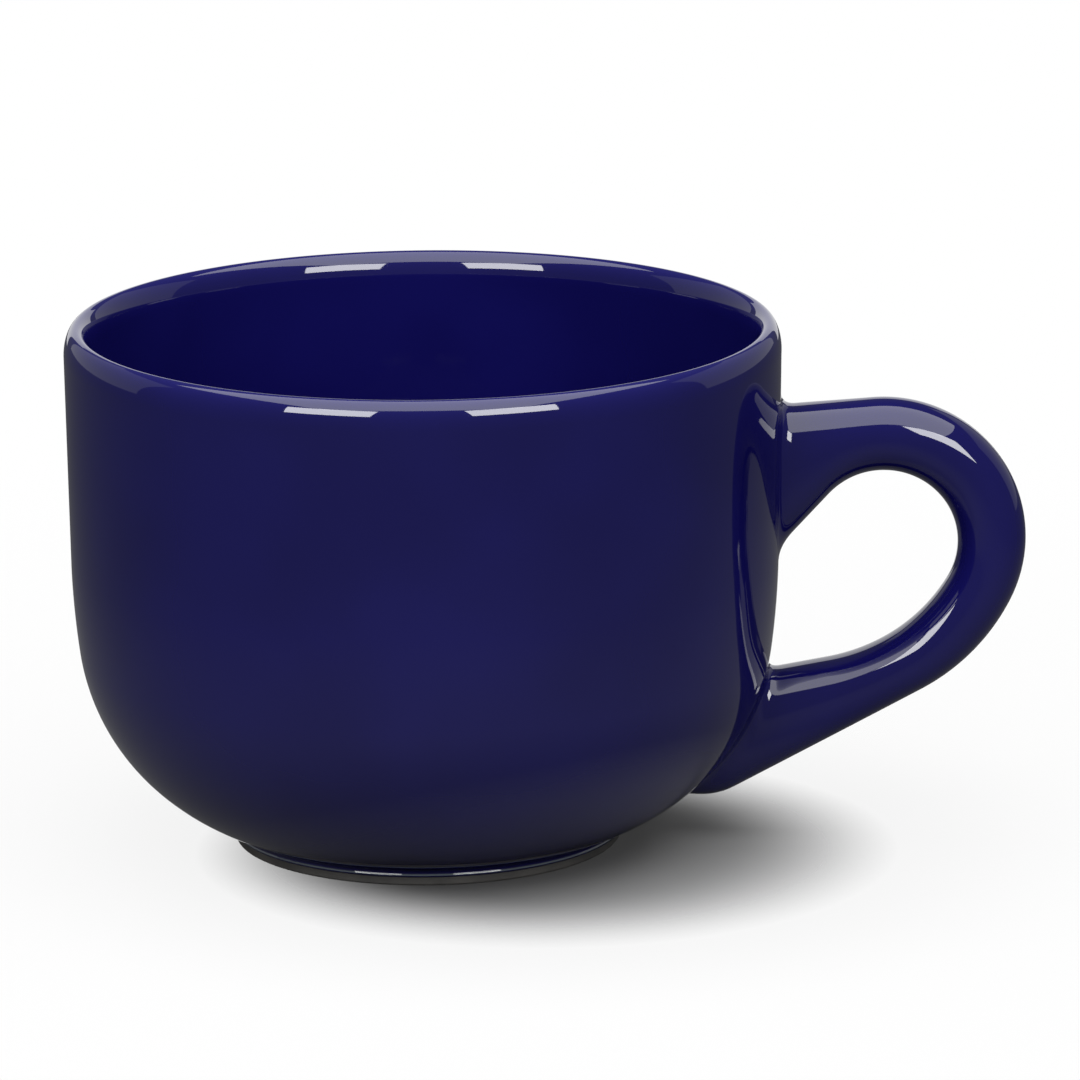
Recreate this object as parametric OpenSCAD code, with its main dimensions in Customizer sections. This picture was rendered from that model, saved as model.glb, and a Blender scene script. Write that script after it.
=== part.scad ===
// Latte mug: a jiggered stoneware cup with a loop handle luted on with slip, under a cobalt glaze.
// Millimetres. +Z is up, the foot ring stands on z = 0 and the handle points along +X.
// Cup sizes are taken over the glaze; the clay lies one glaze thickness inside them.

/* [Cup] */
// Largest diameter of the cup, at the rim
cup_d = 108; // [96:0.5:132]
// Height of the cup from the table to the top of the rim
cup_h = 79.6; // [74:0.1:110]
// Thickness of the wall
wall_t = 4; // [3.2:0.1:5]
// Height over which the rim rounds off
lip_h = 4.3; // [1.6:0.1:6]
// Lean of the wall, in degrees, wider at the rim
wall_taper = 0.9; // [0:0.1:3]
// Radius of the soft bend that leads from the wall into the belly
shoulder_r = 122; // [60:1:160]
// Angle, in degrees from upright, at which the soft bend becomes the belly
shoulder_turn = 7.6; // [4:0.1:12]
// Radius of the belly
belly_r = 33.2; // [27:0.1:40]
// Radius between the inside wall and the inside floor
bowl_r = 32; // [22:0.5:40]
// Height of the inside floor above the table
floor_h = 6.8; // [5:0.1:10]

/* [Foot] */
// Outer diameter of the foot ring
foot_d = 59.2; // [49:0.2:72]
// Height at which the belly meets the foot ring
foot_h = 2.6; // [2.2:0.1:4]
// Width of the foot ring
foot_ring_w = 4.6; // [3:0.1:8]
// Depth of the recess inside the foot ring
recess_h = 1.8; // [1:0.1:2.6]
// Radius of the hollow where the foot meets the belly
foot_fillet_r = 0.8; // [0.4:0.1:1.4]
// Rounding of the foot ring's bottom edges
foot_edge_r = 0.4; // [0.2:0.05:0.8]

/* [Glaze] */
// Thickness of the glaze
glaze_t = 0.35; // [0.25:0.05:0.5]
// Height above the table at which the glaze on the foot stops, at most just below the foot's hollow
glaze_line_h = 1.35; // [1:0.05:1.8]

/* [Handle] */
// Distance of the outer bend's centre from the rim, along X
bend_out = 15.2; // [12:0.1:20]
// Height of the outer bend's centre
bend_h = 45.8; // [42:0.1:56]
// Radius of the outer bend
bend_r = 21.6; // [19:0.1:26]
// Angle below level at which the outer bend opens into the lower sweep
bend_turn = 26; // [15:1:40]
// Radius of the handle's lower sweep, outside
sweep_r = 31.4; // [26:0.2:40]
// How far the eye's centre lies below the outer bend's centre
eye_drop = 0.7; // [0:0.1:2]
// Radius of the eye that the fingers go through
eye_r = 11.3; // [9:0.1:13.5]
// Angle below level at which the eye opens into its flatter bottom
eye_turn = 31; // [15:1:45]
// Radius of the eye's flatter bottom
eye_sweep_r = 26.4; // [20:0.2:34]
// Width of the handle across the grip
grip_w = 11; // [8:0.1:14]
// Width of the handle at its roots
root_w = 12.4; // [9:0.1:16]
// Squareness of the grip's section, where 2 is an ellipse
grip_square = 2.2; // [2:0.1:3]
// Squareness of the section at the roots
root_square = 2.7; // [2:0.1:3.5]

/* [Handle roots] */
// Height at which the handle's top meets the wall
upper_top_h = 66.3; // [60:0.1:70]
// Height at which the underside of the upper root meets the wall
upper_under_h = 44.9; // [40:0.1:50]
// Height at which the top of the lower root meets the belly
lower_top_h = 25.2; // [20:0.1:30]
// Place of the heel on the belly, in degrees below level
heel_turn = 56; // [48:1:62]
// Radius of the heel's rounding
heel_r = 10.3; // [7:0.1:14]
// Angle, in degrees above level, from the heel's tip to the centre of its rounding
heel_tuck = 70; // [55:1:85]
// How far the slip fillet climbs out along the handle
slip_h = 2.2; // [1:0.1:3.5]
// How far the slip fillet spreads over the wall
slip_w = 2.2; // [1:0.1:3.5]
// Clearance between the wall and the pieces luted to it
seat_gap = 0.05; // [0.02:0.01:0.2]

/* [Hidden] */

clay = "#6f6c6a";
pale_clay = "#84807c";
cobalt = "#15135a";
deep_cobalt = "#1b1a70";

// Fineness
$fn = 120;
chord_error = 0.01;  // how far a profile's chords may lie off its arcs
lip_steps = 24;      // chords round the rim
section_sides = 32;  // points round the handle
grip_rings = 40;     // sections between the two slip fillets
fillet_steps = 5;    // chords across a slip fillet
seat_rings = 3;      // rings of facets across a handle's seat
halvings = 26;       // steps of the search for a height above the wall
root_depth = 3;      // how deep the guides run on inside the wall
plug_reach = 1.5;    // how far the openings' cutters pass the glaze, in glaze thicknesses
plug_dome = 6;       // height of the openings' cutters over the wall
lower_lead = 0.75;   // holds the handle's lower sections square to the arm

// Vectors
function polar(a) = [cos(a), sin(a)];
function unit(v) = v / norm(v);
function mix(a, b, f) = a + (b - a) * f;
function ease(f) = f * f * (3 - 2 * f);
function heading(v) = atan2(v.y, v.x);

// Points on an arc, ends included
function arc(c, r, from, to) =
    let (step = 2 * acos(1 - chord_error / r), n = max(2, ceil(abs(to - from) / step)))
    [for (i = [0:n]) c + r * polar(mix(from, to, i / n))];

// Radius direction of the line that leaves circle a and runs on to circle b, both taken clockwise
function tangent_turn(ca, ra, cb, rb) = heading(cb - ca) + acos((ra - rb) / norm(cb - ca));

// Cup: centres of the profile's arcs, as [radius, height]
lip_r = wall_t / 2;
foot_r = foot_d / 2;
wall_n = polar(-wall_taper);
wall_up = polar(90 - wall_taper);
lip_c = [
    cup_d / 2 - norm([lip_r * wall_n.x, lip_h * wall_up.x]),
    cup_h - norm([lip_r * wall_n.y, lip_h * wall_up.y])];
belly_reach = shoulder_r - belly_r;
belly_ch = belly_height(belly_height(foot_h + belly_r));
belly_c = [belly_radius(belly_ch), belly_ch];
shoulder_c = belly_c - belly_reach * polar(-shoulder_turn);
bowl_c = [wall_line_r(floor_h + bowl_r, -lip_r - bowl_r), floor_h + bowl_r];
fillet_cr = foot_r + foot_fillet_r;
fillet_c = [fillet_cr, belly_c.y - sqrt(pow(belly_r + foot_fillet_r, 2) - pow(fillet_cr - belly_c.x, 2))];
recess_r = foot_r - foot_ring_w;
glaze_end_h = min(glaze_line_h, fillet_c.y - glaze_t);
glaze_end_c = [foot_r - glaze_t / 2, glaze_end_h + glaze_t / 2];

// Radius at height h of the line that lies out from the middle of the tapered wall
function wall_line_r(h, out) = lip_c.x + (out + (h - lip_c.y) * sin(wall_taper)) / cos(wall_taper);

// Radius of the belly's centre at height h, and its height for a belly of that radius that meets the foot
function belly_radius(h) =
    wall_line_r(h + belly_reach * sin(shoulder_turn), lip_r - shoulder_r) + belly_reach * cos(shoulder_turn);
function belly_height(h) = foot_h + sqrt(pow(belly_r, 2) - pow(foot_r - belly_radius(h), 2));

// Outside from the foot up to the rim's outer edge, inset by g
function outside(g) = concat(
    arc(fillet_c, foot_fillet_r + g, 180, heading(belly_c - fillet_c)),
    arc(belly_c, belly_r - g, heading(fillet_c - belly_c), -shoulder_turn),
    arc(shoulder_c, shoulder_r - g, -shoulder_turn, -wall_taper));

// Rim: half an ellipse on top of the wall, inset by g
function rim(g) = [
    for (i = [0:lip_steps]) let (t = 180 * i / lip_steps)
    lip_c + (lip_r - g) * cos(t) * wall_n + (lip_h - g) * sin(t) * wall_up];

// Rim and inside down to the middle of the floor, inset by g
function inside(g) = concat(
    rim(g),
    arc(bowl_c, bowl_r + g, -wall_taper, -90),
    [[0, floor_h - g]]);

// Underside of the clay from the axis to the foot ring's outer edge
function underside(g) = concat(
    [[0, recess_h + g], [recess_r, recess_h + g]],
    arc([recess_r + foot_edge_r, foot_edge_r], foot_edge_r, 180, 270),
    arc([foot_r - g - foot_edge_r, foot_edge_r], foot_edge_r, -90, 0));

function reversed(list) = [for (i = [len(list) - 1:-1:0]) list[i]];

// Wall of the cup: how far a point stands off it, and the wall's point below it, inset by g
function half_plane(p) = [norm([p.x, p.y]), p.z];
function turn_below(c, q) = -heading(q - c);
function on_belly(q) = turn_below(belly_c, q) >= shoulder_turn;
function on_shoulder(q) = turn_below(shoulder_c, q) >= wall_taper;
function wall_normal(q) = on_belly(q) ? unit(q - belly_c) : on_shoulder(q) ? unit(q - shoulder_c) : wall_n;
function wall_height(q, g) =
    g + (on_belly(q) ? norm(q - belly_c) - belly_r
        : on_shoulder(q) ? norm(q - shoulder_c) - shoulder_r
        : (q - lip_c) * wall_n - lip_r);
function lift_off(p, g) = wall_height(half_plane(p), g);
function normal_at(p) = let (q = half_plane(p), n = wall_normal(q)) [n.x * p.x / q.x, n.x * p.y / q.x, n.y];
function on_wall(p, g) = p - lift_off(p, g) * normal_at(p);

// Point of the outer profile at height h
function profile_r(h) =
    let (shoulder_h = shoulder_c.y - shoulder_r * sin(wall_taper),
         belly_h = belly_c.y - belly_r * sin(shoulder_turn))
    h > shoulder_h ? wall_line_r(h, lip_r)
    : h > belly_h ? shoulder_c.x + sqrt(pow(shoulder_r, 2) - pow(h - shoulder_c.y, 2))
    : belly_c.x + sqrt(pow(belly_r, 2) - pow(h - belly_c.y, 2));
function profile_point(h) = [profile_r(h), h];

// Handle: an outer and an inner guide of tangent lines and arcs in the plane y = 0, as [x, z]
bend_c = [cup_d / 2 + bend_out, bend_h];
sweep_c = bend_c + (bend_r - sweep_r) * polar(-bend_turn);
eye_c = bend_c - [0, eye_drop];
eye_sweep_c = eye_c + (eye_r - eye_sweep_r) * polar(-eye_turn);
upper_top = profile_point(upper_top_h);
upper_under = profile_point(upper_under_h);
lower_top = profile_point(lower_top_h);
heel_tip = belly_c + belly_r * polar(-heel_turn);
heel_c = heel_tip + heel_r * polar(heel_tuck);
top_turn = tangent_turn(upper_top, 0, bend_c, bend_r);
under_turn = tangent_turn(upper_under, 0, eye_c, eye_r);
heel_from = tangent_turn(sweep_c, sweep_r, heel_c, heel_r);
heel_to = heel_tuck - 180;
lower_turn = tangent_turn(eye_sweep_c, eye_sweep_r, lower_top, 0);

// A stretch is [start, end] for a line, or [centre, radius, from, to] for an arc
function is_arc(s) = len(s) == 4;
function stretch_length(s) = is_arc(s) ? s[1] * abs(s[3] - s[2]) * PI / 180 : norm(s[1] - s[0]);
function stretch_point(s, f) = is_arc(s) ? s[0] + s[1] * polar(mix(s[2], s[3], f)) : mix(s[0], s[1], f);

// Point at a length along a chain of stretches
function chain_point(chain, length, i = 0) =
    let (own = stretch_length(chain[i]))
    length <= own || i == len(chain) - 1 ? stretch_point(chain[i], length / own)
    : chain_point(chain, length - own, i + 1);
function chain_length(chain) = [for (s = chain) stretch_length(s)] * [for (s = chain) 1];

// Each guide as three chains: upper root, grip, lower root
outer_guide = [
    [[upper_top, bend_c + bend_r * polar(top_turn)]],
    [[bend_c, bend_r, top_turn, -bend_turn]],
    [[sweep_c, sweep_r, -bend_turn, heel_from],
     [sweep_c + sweep_r * polar(heel_from), heel_c + heel_r * polar(heel_from)],
     [heel_c, heel_r, heel_from, heel_to]]];
inner_guide = [
    [[upper_under, eye_c + eye_r * polar(under_turn)],
     [eye_c, eye_r, under_turn, top_turn]],
    [[eye_c, eye_r, top_turn, -eye_turn]],
    [[eye_sweep_c, eye_sweep_r, -eye_turn, lower_turn],
     [eye_sweep_c + eye_sweep_r * polar(lower_turn), lower_top]]];

// Point of a guide at u: 0 to 3 along its chains, and on into the wall before 0 and after 3
function guide_point(guide, u, lead) =
    let (i = u < 1 ? 0 : u < 2 ? 1 : 2,
         f = min(max(u - i, 0), 1),
         p = chain_point(guide[i], chain_length(guide[i]) * (i == 2 ? pow(f, lead) : f)),
         sunk = root_depth * max(0, -u, u - 3))
    sunk > 0 ? p - sunk * wall_normal(p) : p;

// Share of the grip's section at u: 0 at the roots, 1 along the grip
function grip_share(u) = ease(min(1, max(0, u), max(0, 3 - u)));

function super(c, square) = sign(c) * pow(abs(c), 2 / square);

// Point of the handle's surface at angle a of the section at u, inset by g
function handle_point(a, u, g) =
    let (o = guide_point(outer_guide, u, 1),
         i = guide_point(inner_guide, u, lower_lead),
         share = grip_share(u),
         square = mix(root_square, grip_square, share),
         deep = (norm(o - i) / 2 - g) * super(cos(a), square),
         wide = (mix(root_w, grip_w, share) / 2 - g) * super(sin(a), square),
         p = (o + i) / 2 + deep * unit(o - i))
    [p.x, wide, p.y];

// Direction out of the section at angle a, for its ellipse
function handle_outward(a, u) =
    let (o = guide_point(outer_guide, u, 1), i = guide_point(inner_guide, u, lower_lead),
         n = unit(o - i), across = norm(o - i) / 2 * sin(a), along = root_w / 2 * cos(a))
    unit([along * n.x, across, along * n.y]);

// Place u between u_in (nearer the wall) and u_out at which the surface stands h off the wall
function find_u(a, g, lift, h, u_in, u_out, left = halvings) =
    let (u = (u_in + u_out) / 2)
    left == 0 ? u
    : lift_off(handle_point(a, u, g), g - lift) < h ? find_u(a, g, lift, h, u, u_out, left - 1)
    : find_u(a, g, lift, h, u_in, u, left - 1);

// Search range of each root: [inside the wall, well outside it]
UPPER = [-1, 1];
LOWER = [4, 2];
function root_u(root, a, g, lift, h) = find_u(a, g, lift, h, root[0], root[1]);
function root_point(root, a, g, lift, h) = handle_point(a, root_u(root, a, g, lift, h), g);

// Edge of the slip fillet on the wall
function wall_edge(root, a, g, lift) =
    let (u = root_u(root, a, g, lift, 0), p = handle_point(a, u, g), w = normal_at(p),
         out = handle_outward(a, u))
    on_wall(p + slip_w * unit(out - (out * w) * w), g - lift);

// Wall under the slip fillet, from the fillet's edge to the handle
function wall_line(root, a, g, lift) =
    let (edge = wall_edge(root, a, g, lift), corner = root_point(root, a, g, lift, 0))
    [for (f = fillet_shares) on_wall(mix(corner, edge, pow(1 - f, 2)), g - lift)];

// Handle's own surface inside the slip fillet, from the wall outwards
function root_line(root, a, g, lift) = [for (f = fillet_shares) root_point(root, a, g, lift, f * f * slip_h)];

// Slip fillet: a curve that leaves the wall and the handle along their surfaces and stays outside both
function fillet_over(wall, side) = [for (i = [0:fillet_steps]) wall[i] + side[i] - side[0]];
function fillet_line(root, a, g, lift) =
    fillet_over(wall_line(root, a, g, lift), root_line(root, a, g, lift));

// Sections between the two slip fillets
function grip_line(a, g, lift) =
    let (from = root_u(UPPER, a, g, lift, slip_h), to = root_u(LOWER, a, g, lift, slip_h))
    [for (i = [1:grip_rings - 1]) handle_point(a, mix(from, to, i / grip_rings), g)];

angles = [for (i = [0:section_sides - 1]) i * 360 / section_sides];
fillet_shares = [for (i = [0:fillet_steps]) i / fillet_steps];

// Angles in the order that goes round a root the same way, seen from outside the wall
function root_angles(root) = root == UPPER ? angles : reversed(angles);

function clay_lines() = [for (a = angles) concat(
    root_line(UPPER, a, glaze_t, seat_gap),
    grip_line(a, glaze_t, seat_gap),
    reversed(root_line(LOWER, a, glaze_t, seat_gap)))];
function skin_lines(g, lift) = [for (a = angles) concat(
    fillet_line(UPPER, a, g, lift),
    grip_line(a, g, lift),
    reversed(fillet_line(LOWER, a, g, lift)))];

// Handle's seat: a loop on the wall, drawn in by f from an end of its surface towards the middle
function mean(loop) = [for (p = loop) 1] * loop / len(loop);
function seat_loop(loop, f, g) = [for (p = loop) on_wall(mix(p, mean(loop), f), g)];

// Meshes: loops of points joined one to the next, from loop "back" on with the quads cut the other way
function loop_faces(loops, n, wrap = false, back = undef) = [
    for (i = [0:loops - (wrap ? 1 : 2)], j = [0:n - 1])
    let (k = ((i + 1) % loops) * n,
         a = i * n + j, b = i * n + (j + 1) % n, c = k + (j + 1) % n, d = k + j)
    each is_undef(back) || i < back ? [[a, b, c], [a, c, d]] : [[a, b, d], [b, c, d]]];
function fan_faces(start, n, tip, flip) = [
    for (j = [0:n - 1])
    let (a = start + j, b = start + (j + 1) % n)
    flip ? [b, a, tip] : [a, b, tip]];
function loops_of(lines) = [for (i = [0:len(lines[0]) - 1]) [for (line = lines) line[i]]];
function flat(loops) = [for (loop = loops) each loop];

// Solid through a row of loops, closed at both ends by a fan
module lofted(loops, first_tip, last_tip) {
    n = len(loops[0]);
    points = concat(flat(loops), [first_tip, last_tip]);
    polyhedron(points, concat(
        loop_faces(len(loops), n),
        fan_faces(0, n, n * len(loops), true),
        fan_faces(n * (len(loops) - 1), n, n * len(loops) + 1, false)), convexity = 8);
}

// Solid ring through the loops of its outside and back through those of its underside, facet over facet
module ringed(outer, under) {
    loops = concat(outer, under);
    polyhedron(flat(loops), loop_faces(len(loops), len(loops[0]), true, len(outer) - 1), convexity = 8);
}

// Sub-parts
module cup_body() {
    color(clay)
        rotate_extrude()
            polygon(concat(underside(glaze_t), outside(glaze_t), inside(glaze_t)));
}

module handle() {
    loops = loops_of(clay_lines());
    first = loops[0];
    last = loops[len(loops) - 1];
    g = glaze_t - seat_gap;
    seat = [for (i = [1:seat_rings - 1]) i / seat_rings];
    color(pale_clay)
        lofted(
            concat(
                [for (f = reversed(seat)) seat_loop(first, f, g)],
                loops,
                [for (f = seat) seat_loop(last, f, g)]),
            on_wall(mean(first), g),
            on_wall(mean(last), g));
}

// Slip fillet round a root: its curve, the wall under it and the handle's side
module joint_slip(root) {
    walls = [for (a = root_angles(root)) wall_line(root, a, glaze_t, seat_gap)];
    sides = [for (a = root_angles(root)) root_line(root, a, glaze_t, seat_gap)];
    wall_loops = loops_of(walls);
    side_loops = loops_of(sides);
    color(pale_clay)
        ringed(
            loops_of([for (i = [0:section_sides - 1]) fillet_over(walls[i], sides[i])]),
            concat(
                [for (i = [1:fillet_steps]) side_loops[fillet_steps - i]],
                [for (i = [1:fillet_steps - 1]) wall_loops[fillet_steps - i]]));
}

module upper_joint_slip() {
    joint_slip(UPPER);
}

module lower_joint_slip() {
    joint_slip(LOWER);
}

// Cutter for the opening in the cup's glaze where a root is luted to the clay
module root_opening(root) {
    outer = [for (a = root_angles(root)) wall_edge(root, a, 0, 0)];
    inner = [for (a = root_angles(root)) wall_edge(root, a, glaze_t, seat_gap)];
    loops = [inner + plug_reach * (inner - outer), outer + plug_reach * (outer - inner)];
    middle = on_wall(mean(outer), 0);
    lofted(loops, middle - root_depth * normal_at(middle), middle + plug_dome * normal_at(middle));
}

module cup_glaze() {
    color(cobalt)
        difference() {
            rotate_extrude()
                polygon(concat(
                    arc(glaze_end_c, glaze_t / 2, -180, 0), outside(0), inside(0),
                    reversed(inside(glaze_t)), reversed(outside(glaze_t))));
            root_opening(UPPER);
            root_opening(LOWER);
        }
}

module handle_glaze() {
    color(deep_cobalt)
        ringed(loops_of(skin_lines(0, 0)), reversed(loops_of(skin_lines(glaze_t, seat_gap))));
}

module base_glaze() {
    color(cobalt)
        translate([0, 0, recess_h])
            cylinder(h = glaze_t, r = recess_r);
}

cup_body();
handle();
upper_joint_slip();
lower_joint_slip();
cup_glaze();
handle_glaze();
base_glaze();
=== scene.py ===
import math

import bpy
import numpy as np
from bpy.props import FloatProperty, FloatVectorProperty, PointerProperty
from mathutils import Matrix, Vector


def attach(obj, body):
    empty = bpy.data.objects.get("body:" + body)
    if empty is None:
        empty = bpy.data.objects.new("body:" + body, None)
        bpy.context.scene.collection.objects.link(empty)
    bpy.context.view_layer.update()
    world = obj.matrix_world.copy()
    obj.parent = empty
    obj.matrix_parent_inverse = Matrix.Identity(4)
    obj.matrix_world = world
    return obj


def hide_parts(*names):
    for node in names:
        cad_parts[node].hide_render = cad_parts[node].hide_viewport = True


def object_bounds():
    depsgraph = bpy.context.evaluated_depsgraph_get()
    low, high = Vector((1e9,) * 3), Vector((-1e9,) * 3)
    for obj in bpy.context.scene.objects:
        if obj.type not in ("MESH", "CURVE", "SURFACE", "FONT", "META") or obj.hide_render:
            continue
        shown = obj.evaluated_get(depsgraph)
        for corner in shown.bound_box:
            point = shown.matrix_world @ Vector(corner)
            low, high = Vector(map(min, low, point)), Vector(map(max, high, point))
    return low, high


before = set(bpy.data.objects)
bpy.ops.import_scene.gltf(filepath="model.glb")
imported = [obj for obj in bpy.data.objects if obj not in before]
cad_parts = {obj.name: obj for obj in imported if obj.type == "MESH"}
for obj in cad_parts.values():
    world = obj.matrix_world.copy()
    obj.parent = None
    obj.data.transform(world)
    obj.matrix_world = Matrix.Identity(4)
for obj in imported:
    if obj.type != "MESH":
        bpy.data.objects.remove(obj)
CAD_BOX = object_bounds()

bl_info = {
    "name": "Latte Mug",
    "version": (1, 0, 0),
    "blender": (4, 5, 0),
    "location": "3D View > Sidebar > Mug",
    "description": "Finishes a cobalt glazed stoneware latte mug and sets it on a studio table",
    "category": "Object",
}

MM = 0.001
BODY = "root"
GLAZE = "Cobalt glaze"
CLAY = "Bare stoneware"
WHITE = (1, 1, 1)

# In millimetres: the corners of the packed model, and how much narrower the fine rim is
CAD_LOW, CAD_HIGH = (np.array(corner) / MM for corner in CAD_BOX)
RIM_INSET = 0.002

# Points this near, in millimetres, are one place, and directions with a larger cosine are one way
SAME_PLACE = 1e-6
SAME_WAY = 0.999


# Properties

def length(name, millimetres, description):
    return FloatProperty(
        name=name, description=description, default=millimetres * MM, min=0, precision=5,
        subtype="DISTANCE", unit="LENGTH")


def angle(name, degrees, description):
    return FloatProperty(
        name=name, description=description, default=math.radians(degrees), subtype="ANGLE", unit="ROTATION")


def number(name, value, description):
    return FloatProperty(name=name, description=description, default=value, precision=4)


def share(name, value, description):
    return FloatProperty(name=name, description=description, default=value, min=0, max=1, subtype="FACTOR")


def colour(name, rgb, description):
    return FloatVectorProperty(
        name=name, description=description, default=rgb, size=3, min=0, max=1, subtype="COLOR")


class CupSizes(bpy.types.PropertyGroup):
    """Sizes of the cup, measured over the glaze"""
    rim_diameter: length(
        "Rim diameter", -2 * CAD_LOW[0] - RIM_INSET, "Largest diameter of the cup, at the rim")
    height: length("Height", CAD_HIGH[2], "Height from the table to the top of the rim")
    wall: length("Wall", 4, "Thickness of the wall")
    lip_rise: length("Lip rise", 4.3, "Height over which the rim rounds off")
    wall_lean: angle("Wall lean", 0.9, "Lean of the wall, wider at the rim")
    shoulder_radius: length("Shoulder radius", 122, "Radius of the soft bend that leads into the belly")
    shoulder_turn: angle(
        "Shoulder turn", 7.6, "Angle from upright at which the soft bend becomes the belly")
    belly_radius: length("Belly radius", 33.2, "Radius of the belly")
    bowl_radius: length("Bowl radius", 32, "Radius between the inside wall and the inside floor")
    floor_height: length("Floor height", 6.8, "Height of the inside floor above the table")
    foot_diameter: length("Foot diameter", 59.2, "Outer diameter of the foot ring")
    foot_height: length("Foot height", 2.6, "Height at which the belly meets the foot ring")
    ring_width: length("Ring width", 4.6, "Width of the foot ring")
    recess: length("Recess", 1.8, "Depth of the recess inside the foot ring")
    foot_hollow: length("Foot hollow", 0.8, "Radius of the hollow where the foot meets the belly")
    foot_edge: length("Foot edge", 0.4, "Rounding of the foot ring's bottom edges")
    glaze: length("Glaze", 0.35, "Thickness of the glaze")
    glaze_line: length("Glaze line", 1.35, "Height on the foot at which the glaze stops")
    glaze_roll: length("Glaze roll", 0.1, "How far the glaze swells at its lower edge")


class HandleSizes(bpy.types.PropertyGroup):
    """Sizes of the handle, measured over the glaze"""
    bend_out: length("Bend distance", 15.2, "Distance of the outer bend's centre from the rim")
    bend_height: length("Bend height", 45.8, "Height of the outer bend's centre")
    bend_radius: length("Bend radius", 21.6, "Radius of the outer bend")
    bend_turn: angle(
        "Bend turn", 26, "Angle below level at which the outer bend opens into the lower sweep")
    sweep_radius: length("Sweep radius", 31.4, "Radius of the lower sweep, outside")
    eye_drop: length("Eye drop", 0.7, "How far the eye's centre lies below the outer bend's centre")
    eye_radius: length("Eye radius", 11.3, "Radius of the eye that the fingers go through")
    eye_turn: angle("Eye turn", 31, "Angle below level at which the eye opens into its flatter bottom")
    eye_sweep_radius: length("Eye sweep radius", 26.4, "Radius of the eye's flatter bottom")
    grip_width: length("Grip width", 11, "Width of the handle across the grip")
    root_width: length("Root width", 12.4, "Width of the handle at its roots")
    grip_square: number("Grip squareness", 2.2, "Squareness of the grip's section, where 2 is an ellipse")
    root_square: number("Root squareness", 2.7, "Squareness of the section at the roots")
    upper_top: length("Upper root top", 66.3, "Height at which the handle's top meets the wall")
    upper_under: length(
        "Upper root underside", 44.9, "Height at which the upper root's underside meets the wall")
    lower_top: length("Lower root top", 25.2, "Height at which the lower root's top meets the belly")
    heel_turn: angle("Heel place", 56, "Place of the heel on the belly, below level")
    heel_radius: length("Heel radius", 10.3, "Radius of the heel's rounding")
    heel_tuck: angle("Heel tuck", 70, "Angle above level from the heel's tip to the centre of its rounding")
    slip_rise: length("Slip rise", 2.2, "How far the slip fillet climbs out along the handle")
    slip_spread: length("Slip spread", 2.2, "How far the slip fillet spreads over the wall")


class GlazeLook(bpy.types.PropertyGroup):
    """Finish of the cobalt glaze"""
    deep: colour("Deep cobalt", (0.0030, 0.0025, 0.047), "Colour where the glaze lies thick")
    full: colour("Full cobalt", (0.0038, 0.0033, 0.057), "Colour of the glaze on the walls")
    # The glaze edge colour is a painted highlight: a pale line where the glaze ends on the foot.
    thin: colour("Thin cobalt", (0.0076, 0.0071, 0.078), "Colour where the glaze draws thin over an edge")
    edge: colour("Glaze edge", (0.10, 0.12, 0.14), "Colour of the line in which the glaze ends on the foot")
    pinhole: colour("Pinhole", (0.2, 0.2, 0.24), "Colour of the pinholes in the glaze")
    pinhole_share: share("Pinhole strength", 0.5, "How strongly the pinholes show")
    smooth: share("Smoothest roughness", 0.02, "Roughness where the glaze is smoothest")
    dull: share("Dullest roughness", 0.04, "Roughness where the glaze is dullest")
    refraction: number("Refractive index", 1.54, "How strongly the glaze mirrors its surroundings")
    ripple: length("Ripple", 0.006, "Height of the slow ripples in the glaze")
    pits: length("Pit depth", 0.03, "Depth of the pinholes in the glaze")


class ClayLook(bpy.types.PropertyGroup):
    """Finish of the bare fired clay"""
    body: colour("Clay", (0.036, 0.035, 0.034), "Colour of the bare clay")
    pale: colour("Pale clay", (0.060, 0.057, 0.054), "Colour of the paler grains")
    iron: colour("Iron specks", (0.02, 0.017, 0.016), "Colour of the iron specks")
    smooth: share("Smoothest roughness", 0.72, "Roughness where the clay is smoothest")
    dull: share("Dullest roughness", 0.9, "Roughness where the clay is dullest")
    grain: length("Grain", 0.03, "Height of the clay's grain")


class StageLook(bpy.types.PropertyGroup):
    """Studio table, lamps and camera"""
    table: colour("Table", (0.62, 0.62, 0.62), "Colour of the table top")
    # The frosted grey is partly painted shadow: a darker patch round the mug's foot, over the real cast
    # shadow.
    frost_painted_shadow: colour("Frosted table", (0.27, 0.27, 0.27), "Colour of the frosted table top under the mug")
    room_front: share("Room front", 0.16, "Brightness of the grey room on the camera's side")
    room_back: share("Room back", 0.09, "Brightness of the grey room on the far side")
    backdrop: number("Backdrop", 1.0, "Brightness of the backdrop behind the mug, where 1 is white")
    panel: number("Overhead panel", 3.0, "Brightness of the large panel over the table")
    window: number("Windows", 11.9, "Brightness of the two wide lamps beside the camera")
    back_lamp: number("Back lamps", 0.3, "Brightness of the two lamps at the back corners")
    table_lamp: number("Table lamp", 2.0, "Brightness of the lamp that lights the table top from the left")
    lens: number("Lens", 292.33, "Focal length in millimetres on a 36 mm frame")
    distance: length("Distance", 1325.7, "Distance of the camera from the point it looks at")
    elevation: angle("Elevation", 13.905, "Height of the camera above level")
    roll: angle("Roll", -0.4806, "Turn of the camera about its own line of sight")


# Plane geometry, in millimetres and degrees

def polar(degrees):
    t = np.radians(degrees)
    return np.stack((np.cos(t), np.sin(t)), -1)


def heading(v):
    return math.degrees(math.atan2(v[1], v[0]))


def unit(v):
    return v / np.linalg.norm(v, axis=-1, keepdims=True)


def ease(f):
    return f * f * (3 - 2 * f)


def tangent_turn(ca, ra, cb, rb):
    """Radius direction of the line that leaves circle a and runs on to circle b, both taken clockwise."""
    apart = cb - ca
    return heading(apart) + math.degrees(math.acos((ra - rb) / np.linalg.norm(apart)))


def arc(centre, radius, start, end, steps, hollow=False):
    """Points of an arc and the directions out of the clay there."""
    out = polar(np.linspace(start, end, steps + 1))
    return centre + radius * out, -out if hollow else out


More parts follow.
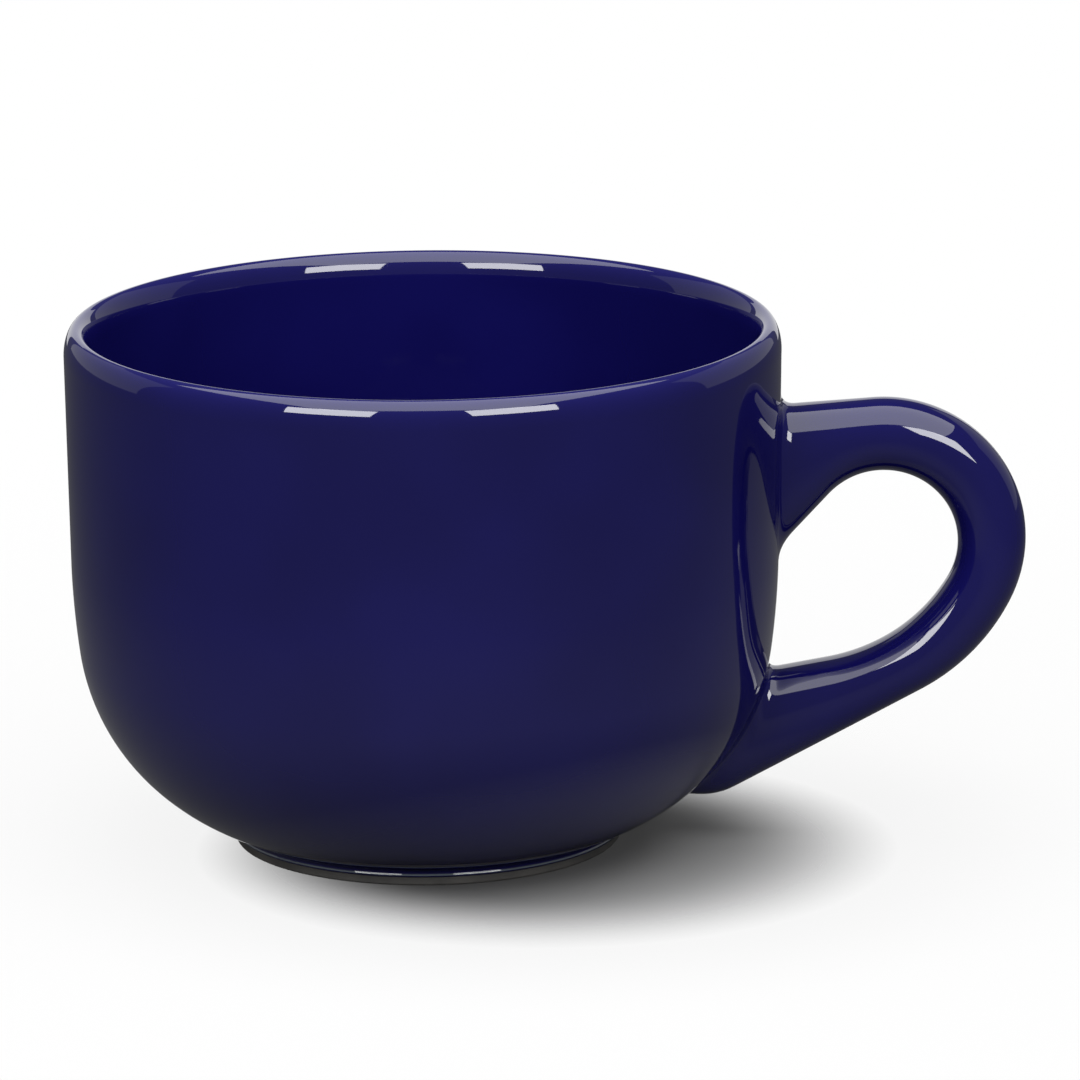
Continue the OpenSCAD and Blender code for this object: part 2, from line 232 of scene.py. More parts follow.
def line(start, end, steps):
    """Points of a line and the direction to its left, as seen from its start."""
    start, end = np.array(start, float), np.array(end, float)
    along = unit(end - start)
    points = start + np.linspace(0, 1, steps + 1)[:, None] * (end - start)
    return points, np.tile((-along[1], along[0]), (steps + 1, 1))


def joined(*pieces):
    """One section from pieces that meet end to end."""
    points, outward = (np.concatenate(part) for part in zip(*pieces))
    apart = np.linalg.norm(np.diff(points, axis=0), axis=1) > SAME_PLACE
    turned = np.einsum("ij,ij->i", outward[1:], outward[:-1]) < SAME_WAY
    keep = np.concatenate(([True], apart | turned))
    return points[keep], outward[keep]


def backwards(piece):
    return tuple(part[::-1] for part in piece)


class CupShape:
    """Profile of the cup, as (radius, height)."""

    # Rounds in which the belly's centre settles
    BELLY_ROUNDS = 3
    # Radius of the hollow that the glaze leaves along the ring, in the recess
    BASE_HOLLOW = 0.5
    # How quickly the glaze draws thin over the rim
    THIN_POWER = 3
    # Painted highlight, a pale line where the glaze ends on the foot: its height above the edge of the glaze
    # and its fade, both in thicknesses of the glaze, and its reach, in fades
    HIGHLIGHT_HEIGHT = 1.25
    HIGHLIGHT_FADE = 0.3
    HIGHLIGHT_REACH = 1.6

    def __init__(self, cup):
        self.glaze = cup.glaze / MM
        self.line = cup.glaze_line / MM
        self.roll = cup.glaze_roll / MM
        self.lean = math.degrees(cup.wall_lean)
        self.turn = math.degrees(cup.shoulder_turn)
        self.half = cup.wall / MM / 2
        self.rise = cup.lip_rise / MM
        self.rim = cup.rim_diameter / MM / 2
        self.out, self.up = polar(-self.lean), polar(90 - self.lean)
        self.lip = np.array((
            self.rim - math.hypot(self.half * self.out[0], self.rise * self.up[0]),
            cup.height / MM - math.hypot(self.rise * self.up[1], self.half * self.out[1])))
        self.shoulder_r, self.belly_r = cup.shoulder_radius / MM, cup.belly_radius / MM
        self.foot, self.foot_edge = cup.foot_diameter / MM / 2, cup.foot_edge / MM
        foot_height, reach = cup.foot_height / MM, self.shoulder_r - self.belly_r
        high = foot_height + self.belly_r
        for _ in range(self.BELLY_ROUNDS):
            wide = self.wall_line(high + reach * polar(self.turn)[1], self.half - self.shoulder_r)
            wide += reach * polar(self.turn)[0]
            high = foot_height + math.sqrt(self.belly_r ** 2 - (self.foot - wide) ** 2)
        self.belly = np.array((wide, high))
        self.shoulder = self.belly - reach * polar(-self.turn)
        self.bowl_r, self.floor = cup.bowl_radius / MM, cup.floor_height / MM
        bowl_high = self.floor + self.bowl_r
        self.bowl = np.array((self.wall_line(bowl_high, -self.half - self.bowl_r), bowl_high))
        self.hollow_r = cup.foot_hollow / MM
        hollow_x = self.foot + self.hollow_r
        self.hollow = np.array((hollow_x, self.belly[1] - math.sqrt(
            (self.belly_r + self.hollow_r) ** 2 - (hollow_x - self.belly[0]) ** 2)))
        self.recess, self.recess_r = cup.recess / MM, self.foot - cup.ring_width / MM

    def wall_line(self, high, out):
        """Radius at a height of the line that lies out from the middle of the wall."""
        return self.lip[0] + (out + (high - self.lip[1]) * self.up[0]) / self.out[0]

    def rounded_rim(self, inset, steps):
        t = np.radians(np.linspace(0, 180, steps + 1))[:, None]
        wide, tall = self.half - inset, self.rise - inset
        points = self.lip + wide * np.cos(t) * self.out + tall * np.sin(t) * self.up
        return points, unit(np.cos(t) / wide * self.out + np.sin(t) / tall * self.up)

    def outside(self, inset, fine=1):
        """From the foot up to the rim."""
        hollow_end = heading(self.belly - self.hollow)
        belly_from = heading(self.hollow - self.belly)
        foot = arc(self.hollow, self.hollow_r + inset, 180, hollow_end, steps=10 * fine, hollow=True)
        belly = arc(self.belly, self.belly_r - inset, belly_from, -self.turn, steps=32 * fine)
        shoulder = arc(self.shoulder, self.shoulder_r - inset, -self.turn, -self.lean, steps=8 * fine)
        rim = self.rounded_rim(inset, steps=30 * fine)
        wall = backwards(line(rim[0][0], shoulder[0][-1], steps=12))
        return joined(foot, belly, shoulder, wall, rim)

    def inside(self, inset, fine=1):
        """From the rim down to the middle of the floor."""
        rim_end = self.lip - (self.half - inset) * self.out
        bowl = arc(self.bowl, self.bowl_r + inset, -self.lean, -90, steps=32 * fine, hollow=True)
        wall = backwards(line(bowl[0][0], rim_end, steps=12))
        floor = backwards(line((0, self.floor - inset), bowl[0][-1], steps=8))
        return joined(wall, bowl, floor)

    def rolled_edge(self, top, steps):
        """Edge of the glaze on the foot: round below, then drawn in to meet the outside at the top."""
        t = np.radians(np.linspace(-90, 0, steps + 1))[:, None]
        centre = np.array((self.foot - self.glaze, self.line + self.glaze))
        edge = centre + (self.glaze + self.roll) * np.cos(t) * (1, 0) + self.glaze * np.sin(t) * (0, 1)
        fade = np.linspace(0, 1, steps + 1)[1:]
        side = np.stack((
            self.foot + self.roll * (1 - ease(fade)), centre[1] + fade * (top[1] - centre[1])), -1)
        points = np.concatenate((edge, side))
        slope = unit(np.gradient(points, axis=0))
        return points, np.stack((slope[:, 1], -slope[:, 0]), -1)

    def coat(self):
        """Closed section of the glaze: its shining side from the foot to the floor, and back on the clay."""
        shining = joined(self.outside(0, fine=2), self.inside(0, fine=2))
        points, outward = backwards(joined(self.outside(self.glaze), self.inside(self.glaze)))
        roll = self.rolled_edge(shining[0][0], steps=8)
        under = backwards(line(roll[0][0], points[-1], steps=4))
        return joined(roll, shining, (points, -outward), under)

    def clay(self):
        """Section of the clay from the recess over the foot ring, the outside and the rim to the floor."""
        edge, ring = self.foot_edge, self.foot - self.glaze
        top = self.recess + self.glaze
        return joined(
            backwards(line((self.recess_r, top), (0, top), steps=6)),
            backwards(line((self.recess_r, edge), (self.recess_r, top), steps=4)),
            arc(np.array((self.recess_r + edge, edge)), edge, 180, 270, steps=8),
            backwards(line((ring - edge, 0), (self.recess_r + edge, 0), steps=10)),
            arc(np.array((ring - edge, edge)), edge, -90, 0, steps=8),
            self.outside(self.glaze),
            self.inside(self.glaze))

    def base(self):
        """Closed section of the glaze in the recess, with the hollow that it leaves along the ring."""
        low, high = self.recess, self.recess + self.glaze
        rim, hollow = self.recess_r, self.BASE_HOLLOW
        return joined(
            backwards(line((rim - hollow, low), (0, low), steps=6)),
            arc(np.array((rim - hollow, low - hollow)), hollow, 90, 0, steps=8, hollow=True),
            backwards(line((rim, high), (rim, low - hollow), steps=2)),
            backwards(line((0, high), (rim, high), steps=6)))

    def over_rim(self, points):
        """How thin the glaze is drawn at section points: not at all on the wall, fully on top of the rim."""
        return np.clip((points[:, 1] - self.lip[1]) / self.rise, 0, 1) ** self.THIN_POWER

    def painted_end_highlight(self, points):
        """Mask of the painted highlight, a pale line where the glaze ends on the foot."""
        off = np.abs(points[:, 1] - self.line - self.HIGHLIGHT_HEIGHT * self.glaze)
        return np.clip(self.HIGHLIGHT_REACH - off / (self.HIGHLIGHT_FADE * self.glaze), 0, 1)

    def in_section(self, points):
        return np.stack((np.hypot(points[:, 0], points[:, 1]), points[:, 2]), -1)

    def wall_measure(self, q):
        """Height of section points over the outside, and the outside's direction there."""
        from_belly, from_shoulder = q - self.belly, q - self.shoulder
        far_b, far_s = np.linalg.norm(from_belly, axis=1), np.linalg.norm(from_shoulder, axis=1)
        below_b = -np.degrees(np.arctan2(from_belly[:, 1], from_belly[:, 0]))
        below_s = -np.degrees(np.arctan2(from_shoulder[:, 1], from_shoulder[:, 0]))
        on_belly, on_shoulder = below_b >= self.turn, below_s >= self.lean
        high = np.where(on_belly, far_b - self.belly_r, np.where(
            on_shoulder, far_s - self.shoulder_r, (q - self.lip) @ self.out - self.half))
        out = np.where(on_belly[:, None], from_belly / far_b[:, None], np.where(
            on_shoulder[:, None], from_shoulder / far_s[:, None], self.out))
        return high, out

    def lift(self, points):
        return self.wall_measure(self.in_section(points))[0]

    def wall_normal(self, points):
        q = self.in_section(points)
        out = self.wall_measure(q)[1]
        level = out[:, :1] * points[:, :2] / q[:, :1]
        return np.column_stack((level, out[:, 1]))

    def on_wall(self, points):
        return points - self.lift(points)[:, None] * self.wall_normal(points)

    def outside_point(self, high):
        """Point of the outside at a height."""
        if high > self.shoulder[1] - self.shoulder_r * math.sin(math.radians(self.lean)):
            return np.array((self.wall_line(high, self.half), high))
        if high > self.belly[1] - self.belly_r * math.sin(math.radians(self.turn)):
            centre, radius = self.shoulder, self.shoulder_r
        else:
            centre, radius = self.belly, self.belly_r
        return np.array((centre[0] + math.sqrt(radius ** 2 - (high - centre[1]) ** 2), high))


class HandleShape:
    """Handle between an outer and an inner guide in the plane y = 0, as (x, z)."""

    # Each guide has three chains of lines and arcs, and places on it run from 0 to their number
    CHAINS = 3
    # Places between which each root is looked for, from inside the wall to the open
    UPPER, LOWER = (-1, 1), (CHAINS + 1, CHAINS - 1)
    # How deep a guide runs on into the wall, and how deep the fillet's edge lies in it
    SUNK = 3
    EDGE_SUNK = 0.3
    # Power that lets the inner guide run ahead of the outer one on the last chain
    LOWER_LEAD = 0.75
    # Halvings in which a root is found
    HALVINGS = 34
    ROUND_OFF = 1e-9

    def __init__(self, handle, cup):
        self.cup = cup
        self.grip_w, self.root_w = handle.grip_width / MM, handle.root_width / MM
        self.grip_square, self.root_square = handle.grip_square, handle.root_square
        self.slip_rise, self.slip_spread = handle.slip_rise / MM, handle.slip_spread / MM
        bend_turn, eye_turn = math.degrees(handle.bend_turn), math.degrees(handle.eye_turn)
        bend_r, eye_r = handle.bend_radius / MM, handle.eye_radius / MM
        sweep_r, eye_sweep_r = handle.sweep_radius / MM, handle.eye_sweep_radius / MM
        bend = np.array((cup.rim + handle.bend_out / MM, handle.bend_height / MM))
        sweep = bend + (bend_r - sweep_r) * polar(-bend_turn)
        eye = bend - (0, handle.eye_drop / MM)
        eye_sweep = eye + (eye_r - eye_sweep_r) * polar(-eye_turn)
        upper_top = cup.outside_point(handle.upper_top / MM)
        upper_under = cup.outside_point(handle.upper_under / MM)
        lower_top = cup.outside_point(handle.lower_top / MM)
        heel_r, tuck = handle.heel_radius / MM, math.degrees(handle.heel_tuck)
        heel = cup.belly + cup.belly_r * polar(-math.degrees(handle.heel_turn)) + heel_r * polar(tuck)
        top_turn = tangent_turn(upper_top, 0, bend, bend_r)
        under_turn = tangent_turn(upper_under, 0, eye, eye_r)
        heel_from = tangent_turn(sweep, sweep_r, heel, heel_r)
        lower_turn = tangent_turn(eye_sweep, eye_sweep_r, lower_top, 0)
        self.outer = (
            ((upper_top, bend + bend_r * polar(top_turn)),),
            ((bend, bend_r, top_turn, -bend_turn),),
            ((sweep, sweep_r, -bend_turn, heel_from),
             (sweep + sweep_r * polar(heel_from), heel + heel_r * polar(heel_from)),
             (heel, heel_r, heel_from, tuck - 180)))
        self.inner = (
            ((upper_under, eye + eye_r * polar(under_turn)), (eye, eye_r, under_turn, top_turn)),
            ((eye, eye_r, top_turn, -eye_turn),),
            ((eye_sweep, eye_sweep_r, -eye_turn, lower_turn),
             (eye_sweep + eye_sweep_r * polar(lower_turn), lower_top)))

    @staticmethod
    def stretch_length(stretch):
        """Length of a line, given by its ends, or of an arc, given by centre, radius and two angles."""
        if len(stretch) == 2:
            return np.linalg.norm(stretch[1] - stretch[0])
        return stretch[1] * math.radians(abs(stretch[3] - stretch[2]))

    def along(self, chain, lengths):
        """Points at lengths along a chain of lines and arcs."""
        points, start = np.zeros((len(lengths), 2)), 0
        for stretch in chain:
            own = self.stretch_length(stretch)
            here = lengths >= start - self.ROUND_OFF
            f = (lengths[here] - start) / own
            if len(stretch) == 2:
                points[here] = stretch[0] + f[:, None] * (stretch[1] - stretch[0])
            else:
                points[here] = stretch[0] + stretch[1] * polar(stretch[2] + f * (stretch[3] - stretch[2]))
            start += own
        return points

    def guide(self, guide, u, lead):
        """Points of a guide at places along its chains, and on into the wall beyond them."""
        last = self.CHAINS - 1
        part = np.clip(np.floor(u), 0, last)
        f = np.clip(u - part, 0, 1)
        points = np.zeros((len(u), 2))
        for k, chain in enumerate(guide):
            here = part == k
            whole = sum(self.stretch_length(s) for s in chain)
            points[here] = self.along(chain, whole * f[here] ** (lead if k == last else 1))
        sunk = self.SUNK * np.maximum(0, np.maximum(-u, u - self.CHAINS))
        return points - sunk[:, None] * self.cup.wall_measure(points)[1]

    def sections(self, u):
        """Middle, half depth, half width and squareness of the sections at u."""
        outer, inner = self.guide(self.outer, u, 1), self.guide(self.inner, u, self.LOWER_LEAD)
        grip = ease(np.minimum(1, np.minimum(np.maximum(u, 0), np.maximum(self.CHAINS - u, 0))))
        wide = (self.root_w + (self.grip_w - self.root_w) * grip) / 2
        square = self.root_square + (self.grip_square - self.root_square) * grip
        return (outer + inner) / 2, (outer - inner) / 2, wide, square

    def surface(self, a, u):
        """Points of the surface at angles a of the sections at u."""
        middle, deep, wide, square = self.sections(u)
        c, s = np.cos(a), np.sin(a)
        p = middle + deep * (np.sign(c) * np.abs(c) ** (2 / square))[:, None]
        return np.stack((p[:, 0], wide * np.sign(s) * np.abs(s) ** (2 / square), p[:, 1]), -1)

    def root_u(self, root, a, rise):
        """Places at which the surface stands a rise off the wall."""
        low, high = np.full(len(a), float(root[0])), np.full(len(a), float(root[1]))
        for _ in range(self.HALVINGS):
            middle = (low + high) / 2
            under = self.cup.lift(self.surface(a, middle)) < rise
            low, high = np.where(under, middle, low), np.where(under, high, middle)
        return (low + high) / 2

    def fillet(self, root, a, steps):
        """Loops of the slip fillet from the wall to the handle, which leave both along their surfaces."""
        u = self.root_u(root, a, 0)
        corner = self.surface(a, u)
        normal = self.cup.wall_normal(corner)
        _, deep, _, _ = self.sections(u)
        across = np.linalg.norm(deep, axis=1) * np.sin(a)
        along = self.root_w / 2 * np.cos(a)
        way = unit(deep)
        out = unit(np.stack((along * way[:, 0], across, along * way[:, 1]), -1))
        out = unit(out - np.einsum("ij,ij->i", out, normal)[:, None] * normal)
        edge = self.cup.on_wall(corner + self.slip_spread * out)
        loops = [edge - self.EDGE_SUNK * normal]
        for f in np.linspace(0, 1, steps + 1):
            wall = self.cup.on_wall(corner + (1 - f) ** 2 * (edge - corner))
            loops.append(wall + self.surface(a, self.root_u(root, a, f * f * self.slip_rise)) - corner)
        return loops

    def loops(self, sides=112, rings=190, steps=14):
        """Loops round the handle, from the wall at its upper root to the wall at its lower root."""
        a = np.linspace(0, 2 * math.pi, sides, endpoint=False)
        start, end = (self.root_u(root, a, self.slip_rise) for root in (self.UPPER, self.LOWER))
        grip = [self.surface(a, start + (end - start) * i / rings) for i in range(1, rings)]
        return self.fillet(self.UPPER, a, steps) + grip + self.fillet(self.LOWER, a, steps)[::-1]


# Meshes

def shown(name, data):
    """A new object in the scene."""
    made = bpy.data.objects.new(name, data)
    bpy.context.scene.collection.objects.link(made)
    return made


def show_mesh(name, points, faces, normals=None, **values):
    """A smooth mesh object, in metres, with its faces turned outwards."""
    triangles = np.array([(f[0], f[i], f[i + 1]) for f in faces for i in range(1, len(f) - 1)])
    a, b, c = (points[triangles[:, i]] for i in range(3))
    if np.einsum("ij,ij->i", a, np.cross(b, c)).sum() < 0:
        faces = [f[::-1] for f in faces]
    mesh = bpy.data.meshes.new(name)
    mesh.from_pydata((points * MM).tolist(), [], faces)
    mesh.polygons.foreach_set("use_smooth", np.ones(len(mesh.polygons), bool))
    for value_name, value in values.items():
        attribute = mesh.attributes.new(value_name, "FLOAT", "POINT")
        attribute.data.foreach_set("value", np.asarray(value, np.float32))
    if mesh.validate():
        raise RuntimeError(f"the mesh of {name} has faulty faces")
    if normals is not None:
        mesh.normals_split_custom_set_from_vertices(normals.tolist())
    return shown(name, mesh)


def turned_mesh(name, section, segments=224, **values):
    """A section turned about the axis, where its points stay single. Points that coincide aren't joined."""
    points, outward = section
    on_axis = points[:, 0] < SAME_PLACE
    counts = np.where(on_axis, 1, segments)
    first = np.cumsum(counts) - counts
    t = np.linspace(0, 2 * math.pi, segments, endpoint=False)
    ring = np.stack((np.cos(t), np.sin(t)), -1)

    def spun(rz):
        return np.concatenate([
            np.array([[0, 0, z]]) if single else np.column_stack((ring * r, np.full(segments, z)))
            for (r, z), single in zip(rz, on_axis)])

    faces = []
    for k, apart in enumerate(np.linalg.norm(np.diff(points, axis=0), axis=1)):
        if apart < SAME_PLACE or on_axis[k] and on_axis[k + 1]:
            continue
        for j in range(segments):
            n = (j + 1) % segments
            here = (first[k],) if on_axis[k] else (first[k] + j, first[k] + n)
            ahead = (first[k + 1],) if on_axis[k + 1] else (first[k + 1] + n, first[k + 1] + j)
            faces.append(here + ahead)
    spread = {key: np.repeat(value, counts) for key, value in values.items()}
    return show_mesh(name, spun(points), faces, spun(outward), **spread)


def tube_mesh(name, loops):
    """Loops joined one to the next, closed at both ends by a fan."""
    n, count = len(loops[0]), len(loops)
    points = np.concatenate(loops + [loops[0].mean(0, keepdims=True), loops[-1].mean(0, keepdims=True)])
    faces = []
    for i in range(count - 1):
        for j in range(n):
            k = (j + 1) % n
            faces.append((i * n + j, i * n + k, (i + 1) * n + k, (i + 1) * n + j))
    for j in range(n):
        k = (j + 1) % n
        faces.append((k, j, count * n))
        faces.append(((count - 1) * n + j, (count - 1) * n + k, count * n + 1))
    return show_mesh(name, points, faces)


# Finishes

# Sockets of the Mix node when it mixes colours
MIX_FACTOR, MIX_FIRST, MIX_SECOND, MIX_RESULT = 0, 6, 7, 2


def feed(tree, socket, value):
    """Feeds a socket from another, or sets its value. A colour is given without its alpha."""
    if isinstance(value, bpy.types.NodeSocket):
        tree.links.new(value, socket)
    elif socket.type == "RGBA":
        socket.default_value = (*value, 1)
    else:
        socket.default_value = value


def put(tree, kind, inputs=None, **settings):
    """A node with its settings and what goes into its sockets."""
    node = tree.nodes.new(kind)
    for key, value in settings.items():
        setattr(node, key, value)
    for key, value in (inputs or {}).items():
        feed(tree, node.inputs[key], value)
    return node


def maths(tree, operation, first, second, **settings):
    return put(tree, "ShaderNodeMath", {0: first, 1: second}, operation=operation, **settings).outputs[0]


def ranged(tree, value, ranges, kind="LINEAR"):
    """A value taken from one range to another."""
    return put(
        tree, "ShaderNodeMapRange", {"Value": value, **ranges}, interpolation_type=kind).outputs["Result"]


def mixed(tree, first, second, factor):
    """Colour between two, each a colour or a socket."""
    inputs = {MIX_FACTOR: factor, MIX_FIRST: first, MIX_SECOND: second}
    return put(tree, "ShaderNodeMix", inputs, data_type="RGBA").outputs[MIX_RESULT]


def attribute(tree, name):
    """A value that the mesh carries at its points."""
    return put(tree, "ShaderNodeAttribute", attribute_name=name).outputs["Fac"]


def new_group(name, inputs, outputs):
    """An empty shader node group with named sockets."""
    tree = bpy.data.node_groups.new(name, "ShaderNodeTree")
    for socket, kind, value in inputs:
        made = tree.interface.new_socket(name=socket, in_out="INPUT", socket_type=kind)
        if value is not None:
            made.default_value = value
    for socket, kind in outputs:
        tree.interface.new_socket(name=socket, in_out="OUTPUT", socket_type=kind)
    return tree, tree.nodes.new("NodeGroupInput"), tree.nodes.new("NodeGroupOutput")


def kiln_unevenness():
    """Group: slow and fine unevenness that the kiln leaves, as a tone and a height."""
    name = "Kiln unevenness"
    if name in bpy.data.node_groups:
        return bpy.data.node_groups[name]
    tree, given, result = new_group(
        name,
        [("Vector", "NodeSocketVector", None), ("Slow", "NodeSocketFloat", 40),
         ("Fine", "NodeSocketFloat", 240)],
        [("Tone", "NodeSocketFloat"), ("Height", "NodeSocketFloat")])
    place = given.outputs["Vector"]
    slow = put(tree, "ShaderNodeTexNoise", {
        "Vector": place, "Scale": given.outputs["Slow"], "Detail": 2, "Roughness": 0.45})
    fine = put(tree, "ShaderNodeTexNoise", {
        "Vector": place, "Scale": given.outputs["Fine"], "Detail": 1, "Roughness": 0.4})
    tone = ranged(tree, slow.outputs["Fac"], {"From Min": 0.3, "From Max": 0.7}, "SMOOTHSTEP")
    feed(tree, result.inputs["Tone"], tone)
    feed(tree, result.inputs["Height"], fine.outputs["Fac"])
    return tree


def kiln_specks():
    """Group: scattered round specks, as a mask."""
    name = "Kiln specks"
    if name in bpy.data.node_groups:
        return bpy.data.node_groups[name]
    tree, given, result = new_group(
        name,
        [("Vector", "NodeSocketVector", None), ("Scale", "NodeSocketFloat", 400),
         ("Share", "NodeSocketFloat", 0.02), ("Size", "NodeSocketFloat", 0.2)],
        [("Mask", "NodeSocketFloat")])
    cells = put(tree, "ShaderNodeTexVoronoi", {
        "Vector": given.outputs["Vector"], "Scale": given.outputs["Scale"]})
    chance = put(tree, "ShaderNodeSeparateColor", {"Color": cells.outputs["Color"]})
    chosen = maths(tree, "LESS_THAN", chance.outputs["Red"], given.outputs["Share"])
    size = maths(tree, "MULTIPLY", chance.outputs["Green"], given.outputs["Size"])
    fall = {"From Min": 0, "From Max": size, "To Min": 1, "To Max": 0}
    near = ranged(tree, cells.outputs["Distance"], fall, "SMOOTHSTEP")
    feed(tree, result.inputs["Mask"], maths(tree, "MULTIPLY", chosen, near))
    return tree


def new_material(name):
    finish = bpy.data.materials.new(name)
    finish.use_nodes = True
    return finish, finish.node_tree


def new_finish(name):
    """A material with its Principled shader and object coordinates."""
    finish, tree = new_material(name)
    place = put(tree, "ShaderNodeTexCoord").outputs["Object"]
    return finish, tree, tree.nodes["Principled BSDF"], place


def placed(tree, group, place, **values):
    """A node group with its own values in a material."""
    return put(tree, "ShaderNodeGroup", {"Vector": place, **values}, node_tree=group)


def raise_surface(tree, shader, height):
    """Shades a height, in millimetres, as relief."""
    bump = put(tree, "ShaderNodeBump", {"Strength": 1, "Distance": MM, "Height": height})
    feed(tree, shader.inputs["Normal"], bump.outputs["Normal"])


def glaze_finish(look):
    """Glossy cobalt glaze, deeper where it pools and lighter where it is thin, with ripples, pinholes and a
    painted highlight where it ends on the foot.
    """
    finish, tree, shader, place = new_finish(GLAZE)
    uneven = placed(tree, kiln_unevenness(), place, Slow=38, Fine=210).outputs
    specks = placed(tree, kiln_specks(), place, Scale=420, Share=0.006, Size=0.16).outputs["Mask"]
    tone = mixed(tree, look.deep, look.full, uneven["Tone"])
    tone = mixed(tree, tone, look.thin, attribute(tree, "thin"))
    # Painted highlight: the pale glaze edge colour along the line where the glaze ends on the foot.
    tone = mixed(tree, tone, look.edge, attribute(tree, "ends"))
    tone = mixed(tree, tone, look.pinhole, maths(tree, "MULTIPLY", specks, look.pinhole_share))
    feed(tree, shader.inputs["Base Color"], tone)
    rough = ranged(tree, uneven["Tone"], {"To Min": look.smooth, "To Max": look.dull})
    feed(tree, shader.inputs["Roughness"], rough)
    ripple = maths(tree, "MULTIPLY", uneven["Height"], look.ripple / MM)
    pits = maths(tree, "MULTIPLY", specks, look.pits / MM)
    raise_surface(tree, shader, maths(tree, "SUBTRACT", ripple, pits))
    shader.inputs["IOR"].default_value = look.refraction
    return finish


def clay_finish(look):
    """Bare fired stoneware: matt, grained and flecked with iron."""
    finish, tree, shader, place = new_finish(CLAY)
    uneven = placed(tree, kiln_unevenness(), place, Slow=160, Fine=1800).outputs
    specks = placed(tree, kiln_specks(), place, Scale=900, Share=0.06, Size=0.35).outputs["Mask"]
    tone = mixed(tree, look.body, look.pale, uneven["Tone"])
    feed(tree, shader.inputs["Base Color"], mixed(tree, tone, look.iron, specks))
    rough = ranged(tree, uneven["Height"], {"To Min": look.smooth, "To Max": look.dull})
    feed(tree, shader.inputs["Roughness"], rough)
    raise_surface(tree, shader, maths(tree, "MULTIPLY", uneven["Height"], look.grain / MM))
    return finish


def finish_named(name, make, look):
    return bpy.data.materials.get(name) or make(look)


def seat(piece, node, finish):
    """Gives a piece its finish and puts it in the place of a packed node."""
    piece.data.materials.append(finish)
    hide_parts(node)
    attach(piece, BODY)


def seat_glaze(context, piece, node):
    """Puts a piece of glaze in the place of a packed node."""
    seat(piece, node, finish_named(GLAZE, glaze_finish, context.scene.mug_glaze))


# Pieces

class MUG_OT_clay_body(bpy.types.Operator):
    """Makes the clay body with its bare foot ring, and finishes the clay under the handle's glaze"""
    bl_idname = "mug.clay_body"
    bl_label = "Clay Body"

    def execute(self, context):
        clay = finish_named(CLAY, clay_finish, context.scene.mug_clay)
        piece = turned_mesh("clay_body", CupShape(context.scene.mug_cup).clay())
        seat(piece, "cup_body", clay)
        for name in ("handle", "upper_joint_slip", "lower_joint_slip"):
            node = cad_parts[name]
            node.data.materials.clear()
            node.data.materials.append(clay)
        return {"FINISHED"}


class MUG_OT_cup_glaze(bpy.types.Operator):
    """Makes the glaze over the cup, from its rolled edge at the foot to the inside floor"""
    bl_idname = "mug.cup_glaze"
    bl_label = "Cup Glaze"

    def execute(self, context):
        cup = CupShape(context.scene.mug_cup)
        points, outward = cup.coat()
        # The ends value marks the painted highlight where the glaze ends on the foot.
        piece = turned_mesh(
            "cup_coat", (points, outward), thin=cup.over_rim(points), ends=cup.painted_end_highlight(points))
        seat_glaze(context, piece, "cup_glaze")
        return {"FINISHED"}


class MUG_OT_handle_glaze(bpy.types.Operator):
    """Makes the glaze over the handle and over the slip fillets at its roots"""
    bl_idname = "mug.handle_glaze"
    bl_label = "Handle Glaze"

    def execute(self, context):
        shape = HandleShape(context.scene.mug_handle, CupShape(context.scene.mug_cup))
        piece = tube_mesh("handle_coat", shape.loops())
        seat_glaze(context, piece, "handle_glaze")
        return {"FINISHED"}


class MUG_OT_base_glaze(bpy.types.Operator):
    """Makes the glaze in the recess of the foot, with the hollow that it leaves along the ring"""
    bl_idname = "mug.base_glaze"
    bl_label = "Base Glaze"

    def execute(self, context):
        piece = turned_mesh("base_coat", CupShape(context.scene.mug_cup).base(), segments=160)
        seat_glaze(context, piece, "base_glaze")
        return {"FINISHED"}


# Stage

# Places and sizes in metres. Lamps in pairs have the place of the right one.
LOOKED_AT = Vector((0.017371, 0, 0.045772))
TABLE_SIZE = (0.66, 0.66)
# The table's middle lies right of and in front of the mug, where its painted shadow is to fall.
TABLE_PLACE = (0.018, -0.009, -0.00005)
BACKDROP_SIZE = (0.34, 0.34)
BACKDROP_AWAY = 1.03
UPPER_BACKDROP_SIZE = (0.8, 0.49)
UPPER_BACKDROP_PLACE = (0, 1, 0.195)
PANEL_SIZE = (1.6, 1.6)
PANEL_PLACE = (0, -0.455, 0.92)
PANEL_AIM = (0, -0.455, 0)
WINDOW_SIZE = (0.525, 0.31)
WINDOW_PLACE = (0.498, -0.873, 0.51)
WINDOW_AIM = (0, 0, 0.08)
BACK_LAMP_SIZE = (1.2, 0.8)
BACK_LAMP_PLACE = (0.92, 0.66, 0.42)
BACK_LAMP_AIM = (0, 0, 0.05)
TABLE_LAMP_SIZE = (0.7, 0.5)
TABLE_LAMP_PLACE = (-0.9, 0.25, 0.55)
TABLE_LAMP_AIM = (0, 0, 0)

# How the frosted patch, and then its grey colour, a painted shadow round the mug, go over into the clear
# table with the distance from the middle
NEAR_FROST_PAINTED_SHADOW = {"From Min": 0.024, "From Max": 0.064, "To Min": 0.97, "To Max": 0}
FAR_FROST = {"From Min": 0.04, "From Max": 0.3, "To Min": 0.12, "To Max": 0}
PAINTED_SHADOW_TO_TABLE = {"From Min": 0.04, "From Max": 0.09}
TABLE_ROUGHNESS = 0.9

# The camera's frame in millimetres, and its nearest and farthest sight in metres
FRAME_WIDTH = 36
NEAREST = 0.01
FARTHEST = 20


